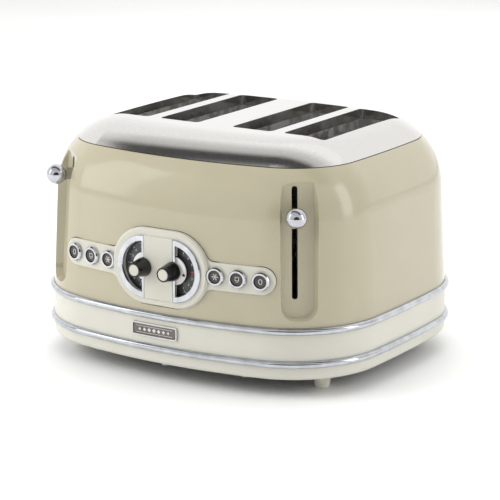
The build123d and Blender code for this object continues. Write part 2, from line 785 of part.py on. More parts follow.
with BuildPart() as control_fascia:
    add(body_form(-arm_proud))
    add(fascia_outline.part, mode=Mode.INTERSECT)
    with BuildSketch(pod_front.offset(-pod_edge)):
        fascia_face(0, False)
    extrude(amount=2 * pod_edge, mode=Mode.SUBTRACT)
    add(pod_block.part)
    with BuildSketch(pod_front):
        with Locations((0, control_z)):
            Rectangle(2 * (dial_x - trim_gap), 2 * bezel_outer)
    extrude(amount=centre_proud)
    chamfer(control_fascia.faces().sort_by(Axis.Y)[0].edges(), centre_edge)
    add(body_form(-trim_gap), mode=Mode.SUBTRACT)
    with BuildSketch(pod_front):
        add(half_dial(bezel_inner + 0.5, dial_x + bezel_bar - 0.5))
    extrude(amount=-half_depth / 2, mode=Mode.SUBTRACT)
    with BuildSketch(pod_front.offset(2 * centre_proud)):
        with Locations((-dial_x, control_z), (dial_x, control_z)):
            Circle(spindle_radius + fit_gap)
    extrude(amount=-half_depth / 2, mode=Mode.SUBTRACT)
    with BuildSketch(Plane.XZ.offset(-seat_y)):
        with Locations((-dial_x, control_z), (dial_x, control_z)):
            Circle(disc_radius + 2 * fit_gap)
    extrude(amount=-half_depth / 2, mode=Mode.SUBTRACT)
    with BuildSketch(Plane.XZ.offset(-(pod_y + face_depth - fit_gap))):
        add(half_dial(bezel_inner + 2, dial_x - 4 - fit_gap))
    extrude(amount=-half_depth / 2, mode=Mode.SUBTRACT)
    for side, x in button_places:
        with BuildSketch(button_plane(side, x)):
            Circle(sleeve_radius + trim_gap)
        extrude(amount=2 * arm_proud, both=True, mode=Mode.SUBTRACT)
        with BuildSketch(button_plane(side, x).offset(button_ring_seat - trim_gap)):
            Circle(button_ring_radius + trim_gap)
        extrude(amount=2 * pod_proud, mode=Mode.SUBTRACT)
    with BuildSketch(Plane.XZ.offset(-board_y)):
        with Locations((0, control_z - post_z), (0, control_z + post_z)):
            Circle(post_radius)
        with Locations((-post_x, control_z), (post_x, control_z)):
            Circle(post_radius)
    extrude(until=Until.NEXT)
save(control_fascia, "control_fascia")

# === half-round dials =====================================================================
for side in (-1, 1):
    hand = side_name[side]
    own_half = Pos(side * 2 * half_width, 0, 0) * Box(4 * half_width, 4 * half_depth, 4 * top_z)

    with BuildPart() as dial_bezel:
        with BuildSketch(pod_front.offset(bezel_seat)):
            add(half_dial(bezel_outer, dial_x))
            add(half_dial(bezel_inner, dial_x + bezel_bar), mode=Mode.SUBTRACT)
            with Locations((side * dial_x, control_z)):
                Circle(spindle_radius + 2 * fit_gap, mode=Mode.SUBTRACT)
        extrude(amount=bezel_proud)
        add(own_half, mode=Mode.INTERSECT)
        chamfer(dial_bezel.faces().sort_by(Axis.Y)[0].edges(), bezel_edge)
    save(dial_bezel, f"dial_bezel_{hand}")

    with BuildPart() as dial_face:
        with BuildSketch(Plane.XZ.offset(-pod_y - face_depth)):
            add(half_dial(bezel_inner + 1.5, dial_x - 4))
            with Locations((side * dial_x, control_z)):
                Circle(spindle_radius + 2 * fit_gap, mode=Mode.SUBTRACT)
        extrude(amount=-face_sheet)
        add(own_half, mode=Mode.INTERSECT)
        leg_plane = Plane.XZ.offset(-pod_y - face_depth - face_sheet)
        with BuildSketch(leg_plane):
            with Locations((side * (dial_x + 4), control_z - 18), (side * (dial_x + 4), control_z + 18)):
                Circle(1.5)
        extrude(amount=face_depth + face_sheet - board_depth)
    save(dial_face, f"dial_face_{hand}")

    dial_axis = (side * dial_x, control_z)
    with BuildPart() as pointer_disc:
        with BuildSketch(Plane.XZ.offset(-disc_y)):
            with Locations(dial_axis):
                Circle(disc_radius)
                Circle(spindle_radius + 0.02, mode=Mode.SUBTRACT)
        extrude(amount=-disc_sheet)
    save(pointer_disc, f"pointer_disc_{hand}")

    with BuildPart() as knob:
        with BuildSketch(Plane.XZ.offset(-knob_base_y)):
            with Locations(dial_axis):
                Circle(knob_base_radius)
        with BuildSketch(Plane.XZ.offset(-knob_tip_y)):
            with Locations(dial_axis):
                Circle(knob_tip_radius)
        loft()
        fillet(knob.faces().sort_by(Axis.Y)[0].edges(), 0.6)
        with BuildSketch(Plane.XZ.offset(-knob_tip_y)):
            with Locations(dial_axis):
                Circle(knob_cap_radius)
        extrude(amount=-knob_cap_depth, mode=Mode.SUBTRACT)
        with BuildSketch(Plane.XZ.offset(-knob_base_y)):
            with Locations(dial_axis):
                Circle(spindle_radius + 0.02)
        extrude(amount=knob_length - knob_cap_depth - 2, mode=Mode.SUBTRACT)
    save(knob, f"knob_{hand}")

    with BuildPart() as knob_cap:
        with BuildSketch(Plane.XZ.offset(-knob_tip_y - knob_cap_depth)):
            with Locations(dial_axis):
                Circle(knob_cap_radius - 0.05)
        extrude(amount=knob_cap_depth - 0.3)
        fillet(knob_cap.faces().sort_by(Axis.Y)[0].edges(), 0.4)
    save(knob_cap, f"knob_cap_{hand}")

    spindle_end_y = board_y - 2
    with BuildPart() as spindle:
        with BuildSketch(Plane.XZ.offset(-spindle_end_y)):
            with Locations(dial_axis):
                Circle(spindle_radius)
        extrude(amount=spindle_end_y - knob_base_y + knob_length - knob_cap_depth - 2.5)
    save(spindle, f"dial_spindle_{hand}")

# === push buttons =========================================================================
with BuildPart() as button_rings:
    for side, x in button_places:
        face = button_plane(side, x)
        with BuildSketch(face.offset(button_ring_seat)):
            Circle(button_ring_radius)
        extrude(amount=button_ring_proud - button_ring_bevel - button_ring_seat)
        with BuildSketch(face.offset(button_ring_proud - button_ring_bevel)):
            Circle(button_ring_radius)
        extrude(amount=button_ring_bevel, taper=button_ring_slope)
        with BuildSketch(face.offset(-arm_proud)):
            Circle(sleeve_radius)
        extrude(amount=arm_proud + 1)
    for side, x in button_places:
        with BuildSketch(button_plane(side, x)):
            Circle(button_ring_hole)
        extrude(amount=2 * button_ring_proud, both=True, mode=Mode.SUBTRACT)
save(button_rings, "button_rings")

switch_front_y = board_y - switch_size[2]
switch_places = []
for side, x in button_places:
    hand = side_name[side]
    face = button_plane(side, x)
    tilt = x / front_radius
    number = button_x.index(x) + 1
    stem_length = (switch_front_y - face.origin.Y) / cos(tilt) - button_travel - 2 * fit_gap
    with BuildPart() as button:
        with BuildSketch(face.offset(-3)):
            Circle(button_radius)
        extrude(amount=button_proud + 3)
        fillet(button.edges().sort_by(Axis.Y)[0], 0.6)
        with BuildSketch(face.offset(-3)):
            Circle(button_stem)
        extrude(amount=3 - stem_length)
    save(button, f"button_{hand}_{number}")
    switch_places.append((side * (x - (switch_front_y - face.origin.Y) * tan(tilt)), board_y, control_z))

with BuildPart() as board_switches:
    with Locations(switch_places):
        Box(switch_size[0], switch_size[2], switch_size[1], align=(Align.CENTER, Align.MAX, Align.CENTER))
    with BuildSketch(Plane.XZ.offset(-board_y)):
        with Locations((-dial_x, control_z), (dial_x, control_z)):
            RectangleRounded(encoder_size, encoder_size, 1)
    extrude(amount=encoder_depth)
    with BuildSketch(Plane.XZ.offset(-board_y)):
        with Locations((-dial_x, control_z), (dial_x, control_z)):
            Circle(spindle_radius + spindle_running_gap)
    extrude(amount=encoder_depth, mode=Mode.SUBTRACT)
save(board_switches, "board_switches")

# === circuit boards =======================================================================
with BuildPart() as control_board:
    with Locations((0, board_y, control_z)):
        Box(2 * board_half_width, board_sheet, board_arm_height, align=on_back)
        Box(2 * (dial_x + pod_radius), board_sheet, 2 * board_half_height, align=on_back)
save(control_board, "control_board")

power_y = plate_front - flange_reach - power_board_size[1] / 2 - 6
power_z = base_top_z + 5
with BuildPart() as power_board:
    with Locations((0, power_y, power_z)):
        Box(*power_board_size, align=on_floor)
        with GridLocations(power_board_size[0] - 8, power_board_size[1] - 8, 2, 2):
            Cylinder(2.5, power_z - base_top_z, align=(Align.CENTER, Align.CENTER, Align.MAX))
save(power_board, "power_board")

with BuildPart() as power_components:
    board_face = power_z + power_board_size[2]
    with Locations((-28, power_y, board_face)):
        Box(30, 26, 24, align=on_floor)
    with Locations((4, power_y, board_face), (24, power_y, board_face)):
        Box(14, 20, 16, align=on_floor)
    with Locations((40, power_y, board_face)):
        Cylinder(5, 16, align=on_floor)
save(power_components, "power_components")

# === badge ================================================================================
with BuildPart() as badge_frame:
    add(ring(badge_proud, trim_gap, badge_z - badge_height, badge_z + badge_height))
    with BuildSketch(Plane.XZ):
        with Locations((badge_x, badge_z)):
            RectangleRounded(badge_length, badge_height, 2)
            RectangleRounded(
                badge_length - 2 * badge_border, badge_height - 2 * badge_border, 1, mode=Mode.SUBTRACT
            )
    extrude(amount=half_depth + 10, mode=Mode.INTERSECT)
save(badge_frame, "badge_frame")

plate_length = badge_length - 2 * badge_border - 2 * trim_gap
plate_height = badge_height - 2 * badge_border - 2 * trim_gap
with BuildPart() as badge_plate:
    add(ring(badge_proud - 0.7, trim_gap, badge_z - badge_height, badge_z + badge_height))
    with BuildSketch(Plane.XZ):
        with Locations((badge_x, badge_z)):
            RectangleRounded(plate_length, plate_height, 0.85)
    extrude(amount=half_depth + 10, mode=Mode.INTERSECT)
save(badge_plate, "badge_plate")
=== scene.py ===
# %% [markdown]
# # A retro four-slot toaster
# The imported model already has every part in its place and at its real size, so this
# lesson is about surfaces. We load the model as a fixed frame, give each finish a
# procedural material, add the small printed details, and light it like a product shot.

import bmesh
import bpy
import json
from math import atan2, cos, pi, radians, sin
from mathutils import Matrix, Vector
from mathutils.bvhtree import BVHTree

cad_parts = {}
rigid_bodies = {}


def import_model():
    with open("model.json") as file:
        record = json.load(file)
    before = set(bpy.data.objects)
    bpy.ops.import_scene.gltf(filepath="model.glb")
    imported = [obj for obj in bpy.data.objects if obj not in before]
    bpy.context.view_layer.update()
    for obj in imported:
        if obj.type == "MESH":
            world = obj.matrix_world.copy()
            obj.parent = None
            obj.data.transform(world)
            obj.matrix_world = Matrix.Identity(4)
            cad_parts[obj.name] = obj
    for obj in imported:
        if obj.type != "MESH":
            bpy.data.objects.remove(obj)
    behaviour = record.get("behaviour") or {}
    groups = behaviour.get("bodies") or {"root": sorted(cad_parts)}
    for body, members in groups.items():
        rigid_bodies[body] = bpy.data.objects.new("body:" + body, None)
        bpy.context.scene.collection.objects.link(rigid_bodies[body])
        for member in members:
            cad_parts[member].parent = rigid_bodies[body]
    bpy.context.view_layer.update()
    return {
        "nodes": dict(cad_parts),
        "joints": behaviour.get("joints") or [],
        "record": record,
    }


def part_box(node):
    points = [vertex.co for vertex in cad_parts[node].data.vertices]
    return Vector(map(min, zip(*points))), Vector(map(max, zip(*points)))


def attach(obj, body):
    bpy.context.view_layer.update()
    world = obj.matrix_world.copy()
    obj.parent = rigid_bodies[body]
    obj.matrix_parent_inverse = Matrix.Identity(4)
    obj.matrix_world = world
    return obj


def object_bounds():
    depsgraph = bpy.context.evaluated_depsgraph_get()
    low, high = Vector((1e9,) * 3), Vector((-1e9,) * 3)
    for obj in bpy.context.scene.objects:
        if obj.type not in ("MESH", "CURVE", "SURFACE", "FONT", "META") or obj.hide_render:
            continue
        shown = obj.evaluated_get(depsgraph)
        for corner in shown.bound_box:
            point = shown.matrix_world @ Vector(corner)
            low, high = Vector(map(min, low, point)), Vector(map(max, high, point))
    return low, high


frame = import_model()
nodes = frame["nodes"]
low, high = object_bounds()
MM = 0.001
print("nodes:", len(nodes), "size in mm:", [round(v / MM, 1) for v in (high - low)])

# %% [markdown]
# ## Two small helpers
# Paint and plastic colours are quoted in sRGB, but shaders work in linear light, so one
# function converts them. A second function adds a node, fills in its settings and links
# its inputs, which keeps each material below short enough to read as a recipe.


# %% Helpers for colours and nodes
def linear(hex_colour):
    """An sRGB hex colour as linear RGBA."""
    parts = [int(hex_colour[i : i + 2], 16) / 255 for i in (1, 3, 5)]
    return [p / 12.92 if p <= 0.04045 else ((p + 0.055) / 1.055) ** 2.4 for p in parts] + [1.0]


def add_node(tree, kind, links=None, **settings):
    """Adds one node, sets its properties or input values, and links its inputs."""
    node = tree.nodes.new(kind)
    for name, value in settings.items():
        if hasattr(node, name):
            setattr(node, name, value)
        else:
            node.inputs[name.replace("_", " ")].default_value = value
    for name, source in (links or {}).items():
        tree.links.new(source, node.inputs[name])
    return node


def new_material(name, **settings):
    """A material with one Principled shader; returns the material, its tree and its shader."""
    material = bpy.data.materials.new(name)
    material.use_nodes = True
    shader = material.node_tree.nodes["Principled BSDF"]
    for key, value in settings.items():
        shader.inputs[key.replace("_", " ")].default_value = value
    return material, material.node_tree, shader


def grain(tree, size_mm, detail=3.0, stretch=(1, 1, 1)):
    """Noise whose spots are size_mm across, stretched along the axes."""
    coords = add_node(tree, "ShaderNodeTexCoord")
    mapping = add_node(tree, "ShaderNodeMapping", {"Vector": coords.outputs["Object"]})
    mapping.inputs["Scale"].default_value = [1 / s for s in stretch]
    noise = add_node(tree, "ShaderNodeTexNoise", {"Vector": mapping.outputs[0]}, Detail=detail)
    noise.inputs["Scale"].default_value = 1 / (size_mm * MM)
    return noise.outputs["Fac"]


def spread(tree, source, low_value, high_value, from_low=0.3, from_high=0.7):
    """Maps a noise onto a range of values."""
    ends = {"From Min": from_low, "From Max": from_high, "To Min": low_value, "To Max": high_value}
    node = add_node(tree, "ShaderNodeMapRange", {"Value": source})
    for name, number in ends.items():
        node.inputs[name].default_value = number
    return node.outputs["Result"]


def tint(tree, source, dark, light):
    """Mixes two close colours by a noise."""
    ramp = add_node(tree, "ShaderNodeValToRGB", {"Fac": source})
    ramp.color_ramp.elements[0].position = 0.3
    ramp.color_ramp.elements[1].position = 0.7
    ramp.color_ramp.elements[0].color = linear(dark)
    ramp.color_ramp.elements[1].color = linear(light)
    return ramp.outputs["Color"]


def relief(tree, shader, source, depth_mm, strength=1.0):
    """Bump of a real depth on the shader's normal."""
    bump = add_node(tree, "ShaderNodeBump", {"Height": source}, Strength=strength)
    bump.inputs["Distance"].default_value = depth_mm * MM
    tree.links.new(bump.outputs["Normal"], shader.inputs["Normal"])


finishes = {}
print("helpers ready")

# %% [markdown]
# ## Enamel, cream plastic and rubber
# The body is steel sheet with sprayed, baked enamel: a coloured coat under a clear one,
# with a faint orange peel a few millimetres across that wavers the reflections. The base
# and fascia are injection-moulded plastic, which is softer in its gloss and shows a fine
# mould texture. Each colour is mixed from two close tones so that it is never dead flat.

# %% Painted and moulded finishes
def enamel(name, dark, light, roughness):
    """Baked enamel on sheet: clear-coated, with a faint orange peel."""
    material, tree, shader = new_material(
        name, Roughness=roughness, Coat_Weight=0.6, Coat_Roughness=0.04
    )
    tree.links.new(tint(tree, grain(tree, 60), dark, light), shader.inputs["Base Color"])
    relief(tree, shader, grain(tree, 2.5, 1.0), 0.006, 0.35)
    return material


def moulded(name, dark, light, rough_low, rough_high, grain_mm=1.2, depth=0.002):
    """Injection-moulded plastic with a fine mould texture."""
    material, tree, shader = new_material(name, IOR=1.5)
    tree.links.new(tint(tree, grain(tree, 35), dark, light), shader.inputs["Base Color"])
    gloss = spread(tree, grain(tree, 12), rough_low, rough_high)
    tree.links.new(gloss, shader.inputs["Roughness"])
    relief(tree, shader, grain(tree, grain_mm), depth, 0.5)
    return material


finishes["body_enamel"] = enamel("baked beige enamel", "#ACA58C", "#B0A990", 0.16)
finishes["base_steel"] = enamel("black painted sheet", "#151515", "#1C1C1C", 0.45)
finishes["badge_face"] = enamel("taupe badge lacquer", "#57504A", "#605850", 0.3)
finishes["skirt_plastic"] = moulded("cream ABS skirt", "#CDCBC0", "#D0CEC3", 0.34, 0.37)
finishes["fascia_plastic"] = moulded("cream ABS fascia", "#C9C7BA", "#CBC9BD", 0.32, 0.36)
# The feet are the same cream plastic as the skirt. This copy is painted lighter to lift the shade
# that falls on them under the skirt.
finishes["foot_plastic"] = moulded("cream foot plastic with painted light", "#E4E0D0", "#E8E4D6", 0.4, 0.5)
finishes["pointer_white"] = moulded("white printed disc", "#ECEBE6", "#F2F1ED", 0.3, 0.4)
finishes["knob_black"] = moulded("black gloss knob", "#0C0B0C", "#121012", 0.16, 0.26, 0.8)
finishes["button_face"] = moulded("dark button face", "#3B3736", "#443F3E", 0.3, 0.42)
finishes["dial_print"] = moulded("printed dial", "#3F4143", "#484A4C", 0.06, 0.1)
finishes["encoder_body"] = moulded("black component case", "#131313", "#1D1D1D", 0.45, 0.6)
# Real rubber seals take this finish. So does the thin dark tube round the fascia, which is painted
# shadow.
finishes["seal_rubber"] = moulded("dark rubber seal and painted shadow line", "#0A0A0A", "#141312", 0.7, 0.85, 0.4, 0.02)
finishes["gland_rubber"] = moulded(
    "black rubber gland", "#101010", "#1A1A1A", 0.55, 0.7, 0.4, 0.02
)
finishes["board_green"] = moulded(
    "green circuit board", "#12401F", "#1B5A2B", 0.3, 0.5, 1.5, 0.02
)
finishes["mica"] = moulded("mica sheet", "#8A7A5E", "#A8977A", 0.4, 0.7, 4.0, 0.03)
finishes["magnet_coil"] = moulded(
    "lacquered copper coil", "#5A2612", "#8A4422", 0.3, 0.45, 0.5, 0.1
)
print("painted and moulded finishes:", len(finishes))

# %% [markdown]
# ## Bare metals
# Four kinds of bare metal show. The cap is stainless steel polished to a satin, so short
# fine grit marks soften what it reflects. Trim, rings and balls are plated chrome, almost
# a mirror. The chamber sheet is galvanised, with large dull spangles of zinc. Wires, rods
# and small steel parts have streaks that are long one way and hair-thin the other.

# %% Metal finishes
def brushed(name, dark, light, rough_low, rough_high, stretch=(60, 0.35, 0.35)):
    """Brushed steel: streaks long on one axis and thin across it."""
    material, tree, shader = new_material(name, Metallic=1.0, Anisotropic=0.5)
    streaks = grain(tree, 1.0, 2.0, stretch)
    tree.links.new(tint(tree, streaks, dark, light), shader.inputs["Base Color"])
    tree.links.new(spread(tree, streaks, rough_low, rough_high), shader.inputs["Roughness"])
    relief(tree, shader, streaks, 0.008, 0.35)
    return material


def satin(name, dark, light):
    """Stainless sheet polished to a satin: fine short grit marks over a near mirror."""
    material, tree, shader = new_material(name, Metallic=1.0)
    grit = grain(tree, 0.9, 3.0, (3, 1, 1))
    tree.links.new(tint(tree, grit, dark, light), shader.inputs["Base Color"])
    tree.links.new(spread(tree, grit, 0.11, 0.15), shader.inputs["Roughness"])
    relief(tree, shader, grit, 0.002, 0.25)
    return material


def plated(name, colour_dark, colour_light, rough_low, rough_high):
    """Chrome plate, with the faintest film of handling on it."""
    material, tree, shader = new_material(name, Metallic=1.0)
    film = grain(tree, 9, 2.0)
    tree.links.new(tint(tree, film, colour_dark, colour_light), shader.inputs["Base Color"])
    tree.links.new(spread(tree, film, rough_low, rough_high), shader.inputs["Roughness"])
    return material


SPANGLE_MM = 6


def galvanised(name, dark, light):
    """Hot-dipped zinc: dull, with flat spangles about 6 mm across."""
    material, tree, shader = new_material(name, Metallic=1.0)
    coords = add_node(tree, "ShaderNodeTexCoord")
    spangle = add_node(
        tree,
        "ShaderNodeTexVoronoi",
        {"Vector": coords.outputs["Object"]},
        Scale=1 / (SPANGLE_MM * MM),
    )
    split = add_node(tree, "ShaderNodeSeparateColor", {"Color": spangle.outputs["Color"]})
    facet = split.outputs["Red"]
    tree.links.new(tint(tree, facet, dark, light), shader.inputs["Base Color"])
    tree.links.new(spread(tree, facet, 0.35, 0.5), shader.inputs["Roughness"])
    relief(tree, shader, grain(tree, 1.5), 0.01, 0.4)
    return material


finishes["cap_steel"] = satin("satin stainless cap", "#D2D0CC", "#DCDAD6")
finishes["chrome_trim"] = plated("chrome trim band", "#B6B9BE", "#CBCED2", 0.03, 0.07)
finishes["chrome_dial"] = plated("chrome dial ring", "#B9BBBF", "#CDCFD3", 0.05, 0.1)
finishes["chrome_ball"] = plated("chrome lever ball", "#B9BBC0", "#CCCED3", 0.02, 0.05)
finishes["lever_steel"] = plated("chromed lever arm", "#C8C9CC", "#D8D9DC", 0.1, 0.2)
finishes["badge_metal"] = plated("polished badge frame", "#BDBDBC", "#CFCFCE", 0.15, 0.25)
finishes["chassis_steel"] = galvanised("galvanised sheet", "#D4D4D2", "#ECEBE9")
finishes["guide_steel"] = brushed("drawn steel wire", "#83817D", "#A09E9A", 0.25, 0.4, (0.5, 8, 8))
finishes["rod_steel"] = brushed(
    "ground steel rod", "#9A9A98", "#B4B4B2", 0.15, 0.25, (0.4, 0.4, 10)
)
finishes["carriage_steel"] = brushed("pressed carriage steel", "#84837F", "#9B9A96", 0.3, 0.45)
finishes["spindle_steel"] = brushed("turned spindle", "#8A8A88", "#A6A6A4", 0.2, 0.35, (1, 20, 1))
finishes["spring_steel"] = brushed("spring wire", "#77767A", "#939296", 0.25, 0.4, (0.5, 0.5, 6))
finishes["screw_steel"] = brushed("zinc-plated screws", "#9A9C98", "#B9BBB6", 0.25, 0.4, (2, 2, 2))
finishes["heater_alloy"] = brushed(
    "resistance ribbon", "#5C524A", "#7A6E64", 0.4, 0.6, (0.5, 8, 0.5)
)
print("finishes in all:", len(finishes))

# %% [markdown]
# ## Hand out the finishes
# The record says which slot each node takes its finish from. Assigning by that table
# leaves no node on its plain imported colour, and the loop stops if a slot has no recipe.

# %% Assign the finishes
for row in frame["record"]["subparts"]:
    mesh = nodes[row["node"]].data
    mesh.materials.clear()
    mesh.materials.append(finishes[row["material_slot"]])

# %% [markdown]
# ## Prints on the dials
# The dial faces carry ticks, numerals and one red mark. On the real part they are pad
# printed, a few hundredths of a millimetre thick. Thin raised bars on the face give the
# same crisp edge at any distance. Everything is placed from the dial faces' own boxes.

# %% Dial centres and print helpers
def material_of_ink(name, dark, light, roughness=0.45):
    """Printing ink: a thin, slightly rough film."""
    material, tree, shader = new_material(name, Roughness=roughness)
    tree.links.new(tint(tree, grain(tree, 0.8), dark, light), shader.inputs["Base Color"])
    relief(tree, shader, grain(tree, 0.3), 0.004, 0.4)
    return material


inks = {
    "pale": material_of_ink("pale printing ink", "#D2D1CB", "#DEDDD8"),
    "red": material_of_ink("red printing ink", "#A83034", "#BC3C40"),
    "black": material_of_ink("black printing ink", "#121012", "#1A181A"),
}


def finish_piece(mesh_data, name, ink, body):
    """Turns a bmesh into an object that rides on a body."""
    bmesh.ops.recalc_face_normals(mesh_data, faces=mesh_data.faces)
    data = bpy.data.meshes.new(name)
    mesh_data.to_mesh(data)
    mesh_data.free()
    data.materials.append(ink)
    piece = bpy.data.objects.new(name, data)
    bpy.context.scene.collection.objects.link(piece)
    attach(piece, body)
    return piece


def place_on(face_origin, out, up=Vector((0, 0, 1))):
    """Matrix that stands a print on a face that looks along out."""
    out = out.normalized()
    side = up.cross(out).normalized()
    rows = Matrix((side, out.cross(side), out)).transposed().to_4x4()
    return Matrix.Translation(face_origin) @ rows


def bar(target, matrix, length, width, thick, turn, at):
    """One printed bar, length by width, turned and moved in the face's plane."""
    shape = Matrix.Diagonal((length, width, thick, 1))
    move = matrix @ Matrix.Translation((at[0], at[1], 0)) @ Matrix.Rotation(turn, 4, "Z") @ shape
    bmesh.ops.create_cube(target, size=1.0, matrix=move)


def glyph(target, text, matrix, height, thick, at, turn=0.0):
    """One numeral or sign as a thin raised mesh, centred on a point of the face."""
    curve = bpy.data.curves.new("glyph", "FONT")
    curve.body = text
    curve.size = height
    curve.extrude = thick / 2
    curve.resolution_u = 3
    curve.align_x = "CENTER"
    curve.align_y = "CENTER"
    holder = bpy.data.objects.new("glyph", curve)
    bpy.context.scene.collection.objects.link(holder)
    bpy.context.view_layer.update()
    ready = holder.evaluated_get(bpy.context.evaluated_depsgraph_get())
    flat = bpy.data.meshes.new_from_object(ready)
    flat.transform(matrix @ Matrix.Translation((at[0], at[1], 0)) @ Matrix.Rotation(turn, 4, "Z"))
    target.from_mesh(flat)
    bpy.data.objects.remove(holder)
    bpy.data.curves.remove(curve)
    bpy.data.meshes.remove(flat)


INK = 0.06 * MM
dials = {}
for hand in ("left", "right"):
    knob_low, knob_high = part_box(f"knob_{hand}")
    face_low, face_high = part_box(f"dial_face_{hand}")
    centre = (knob_low + knob_high) / 2
    dials[hand] = Vector((centre.x, face_low.y - INK / 2, centre.z))
print("dial centres in mm:", {k: [round(c / MM, 1) for c in v] for k, v in dials.items()})

# %% Print the dials
STEPS = (-66, -44, -22, 0, 22, 44, 66)
TICK_RADIUS = 20.2
NUMERAL_RADIUS = 16.9
MIDDLE_RADIUS = 16.4
ARC_RADIUS = 21.7
ARC_BARS = 24
for hand, centre in dials.items():
    sign = -1 if hand == "left" else 1
    face = place_on(centre, Vector((0, -1, 0)))
    marks = bmesh.new()
    for step, degrees_up in enumerate(STEPS):
        heading = radians(degrees_up) if sign > 0 else pi - radians(degrees_up)
        spot = Vector((cos(heading), sin(heading)))
        bar(marks, face, 1.9 * MM, 0.4 * MM, INK, heading, spot * TICK_RADIUS * MM)
        if degrees_up:
            glyph(marks, str(step + 1), face, 3.0 * MM, INK, spot * NUMERAL_RADIUS * MM)
    finish_piece(marks, f"dial_marks_{hand}", inks["pale"], "casing")
    middle = bmesh.new()
    colour = inks["red"] if hand == "right" else inks["pale"]
    width = 1.3 if hand == "right" else 0.5
    bar(middle, face, 5.2 * MM, width * MM, INK, 0, Vector((sign, 0)) * MIDDLE_RADIUS * MM)
    finish_piece(middle, f"dial_middle_{hand}", colour, "casing")

arc = bmesh.new()
face = place_on(dials["right"], Vector((0, -1, 0)))
for step in range(ARC_BARS):
    heading = radians(-2 - 2.7 * step)
    spot = Vector((cos(heading), sin(heading))) * ARC_RADIUS * MM
    bar(arc, face, 0.7 * MM, 1.1 * MM, INK, heading, spot)
finish_piece(arc, "dial_arc_right", inks["pale"], "casing")
print("printed ticks and numerals on both dials, and an arc on the right one")

# %% [markdown]
# ## The pointer dots
# Each knob turns a white disc behind the half window. A black dot near the disc's rim is
# the pointer. It rides with the knob, so it swings across the scale when the knob turns.

# %% Pointer dots
DOT_TURN = -14
DOT_PLACE = 10.4
DOT_RADIUS = 1.4 * MM
for hand, centre in dials.items():
    sign = -1 if hand == "left" else 1
    disc_low, disc_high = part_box(f"pointer_disc_{hand}")
    face = place_on(Vector((centre.x, disc_low.y - INK / 2, centre.z)), Vector((0, -1, 0)))
    angle = radians(DOT_TURN)
    spot = Vector((sign * cos(angle), sin(angle))) * DOT_PLACE * MM
    dot = bmesh.new()
    move = face @ Matrix.Translation((spot.x, spot.y, 0))
    bmesh.ops.create_cone(
        dot,
        cap_ends=True,
        segments=24,
        radius1=DOT_RADIUS,
        radius2=DOT_RADIUS,
        depth=INK,
        matrix=move,
    )
    finish_piece(dot, f"pointer_dot_{hand}", inks["black"], f"knob_{hand}")
print("pointer dots added")

# %% [markdown]
# ## Signs on the buttons
# The buttons carry plain signs: a snowflake to thaw, a slice to reheat and a ring to
# stop. They are generic signs, built from bars, and each rides on its own button so that
# it sinks with it.

# %% Button signs
def button_face(hand, number):
    """Matrix of a button's front face, from its joint's axis and its box."""
    joint = [j for j in frame["joints"] if j["name"] == f"{hand}_button_{number}"][0]
    out = -Vector(joint["axis"]).normalized()
    points = [v.co for v in nodes[f"button_{hand}_{number}"].data.vertices]
    reach = max(p.dot(out) for p in points)
    front = [p for p in points if p.dot(out) > reach - 0.05 * MM]
    middle = sum(front, Vector()) / len(front)
    return place_on(middle + out * (INK / 2), out)


def snowflake(target, face):
    """Six short arms with a cross bar near each tip."""
    for arm in range(6):
        turn = arm * pi / 3
        spot = Vector((cos(turn), sin(turn)))
        bar(target, face, 3.0 * MM, 0.45 * MM, INK, turn, spot * 1.5 * MM)
        bar(target, face, 0.4 * MM, 1.3 * MM, INK, turn, spot * 2.2 * MM)


def slice_sign(target, face):
    """A slice of bread in outline over three short slanted bars of heat."""
    for x in (-1.7, 1.7):
        bar(target, face, 0.4 * MM, 2.8 * MM, INK, 0, (x * MM, 0.4 * MM))
    for y in (-1.0, 1.9):
        bar(target, face, 3.8 * MM, 0.4 * MM, INK, 0, (0, y * MM))
    for x in (-1.0, 0.0, 1.0):
        bar(target, face, 0.35 * MM, 1.0 * MM, INK, 0.3, (x * MM, -2.2 * MM))


def ring_sign(target, face):
    """An upright ring made of short bars."""
    for step in range(16):
        turn = step * pi / 8
        spot = (1.5 * MM * cos(turn), 2.2 * MM * sin(turn))
        across = atan2(sin(turn) / 2.2, cos(turn) / 1.5)
        bar(target, face, 0.55 * MM, 0.95 * MM, INK, across, spot)


for hand in ("left", "right"):
    for number, draw in ((1, snowflake), (2, slice_sign), (3, ring_sign)):
        sign_mesh = bmesh.new()
        draw(sign_mesh, button_face(hand, number))
        body = f"button_{hand}_{number}"
        finish_piece(sign_mesh, f"sign_{hand}_{number}", inks["pale"], body)
print("six button signs added")

# %% [markdown]
# ## A painted shadow line round the fascia
# Where the fascia meets the enamel a thin black line shows: the shade in the seam under the
# fascia's edge, painted as a thin dark tube. It follows the fascia's outline over the bowed
# front. We draw a quarter of the outline as lines and arcs, mirror it, and drop each point
# onto the body with a ray.

# %% Fascia shadow line (painted shadow)
fascia_low, fascia_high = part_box("control_fascia")
middle_z = (fascia_low.z + fascia_high.z) / 2
pod = (fascia_high.z - fascia_low.z) / 2
ARM = 11.9 * MM
BLEND = 9.0 * MM
SHADOW_LINE_RADIUS = 0.32 * MM
arm_end = fascia_high.x - ARM
pod_x = dials["right"].x


def arc_points(centre, radius, start, end, count):
    """Points along an arc, from start to end in radians."""
    turns = [start + (end - start) * i / (count - 1) for i in range(count)]
    return [Vector((centre[0] + radius * cos(t), centre[1] + radius * sin(t))) for t in turns]


rise = ARM + BLEND
run = ((pod + BLEND) ** 2 - rise**2) ** 0.5
lift = atan2(rise, run)
quarter = [Vector((0, pod))] + arc_points((pod_x, 0), pod, pi / 2, lift, 24)
quarter += arc_points((pod_x + run, rise), BLEND, pi + lift, 1.5 * pi, 8)
quarter += arc_points((arm_end, 0), ARM, pi / 2, 0, 14)
half = quarter + [Vector((p.x, -p.y)) for p in reversed(quarter[:-1])]
outline = half + [Vector((-p.x, p.y)) for p in reversed(half[1:-1])]

